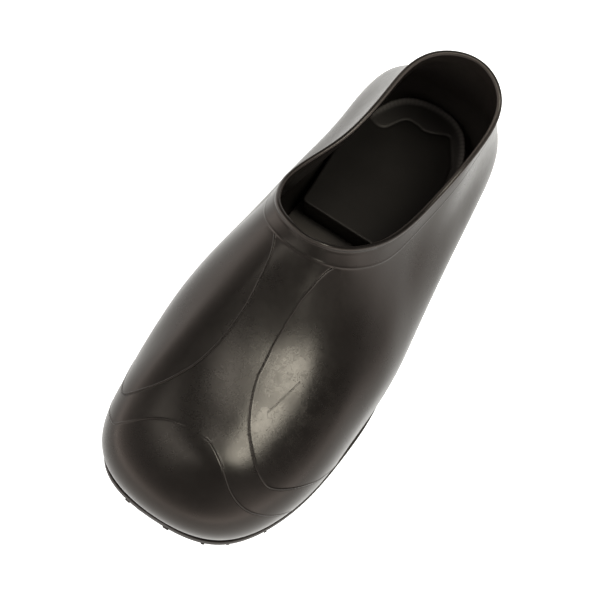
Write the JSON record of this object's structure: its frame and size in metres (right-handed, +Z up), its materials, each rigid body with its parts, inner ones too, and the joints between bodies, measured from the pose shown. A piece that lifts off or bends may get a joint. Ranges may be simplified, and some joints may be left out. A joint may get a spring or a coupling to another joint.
{
  "type": "rubber overshoe",
  "caption": "Low slip-on rubber overshoe with a broad bulbous toe, rolled oval collar rising to the heel, cleated outsole and a raised heel pad inside.",
  "frame": {"origin": "on the ground, under the middle of the shoe's box", "axes": "+Z up, toe towards -Y, heel towards +Y, +X on the outer side of a left shoe"},
  "size_m": [0.1278, 0.331, 0.1185],
  "materials": {
    "outsole": "dull black moulded rubber with lugs",
    "upper": "satin black moulded rubber, faintly dusty",
    "heel_pad": "dull black moulded rubber",
    "heel_counter": "satin black moulded rubber"
  },
  "bodies": {
    "root": {"outsole": "outsole", "upper": "upper", "heel_pad": "heel_pad", "heel_counter": "heel_counter"}
  },
  "joints": []
}
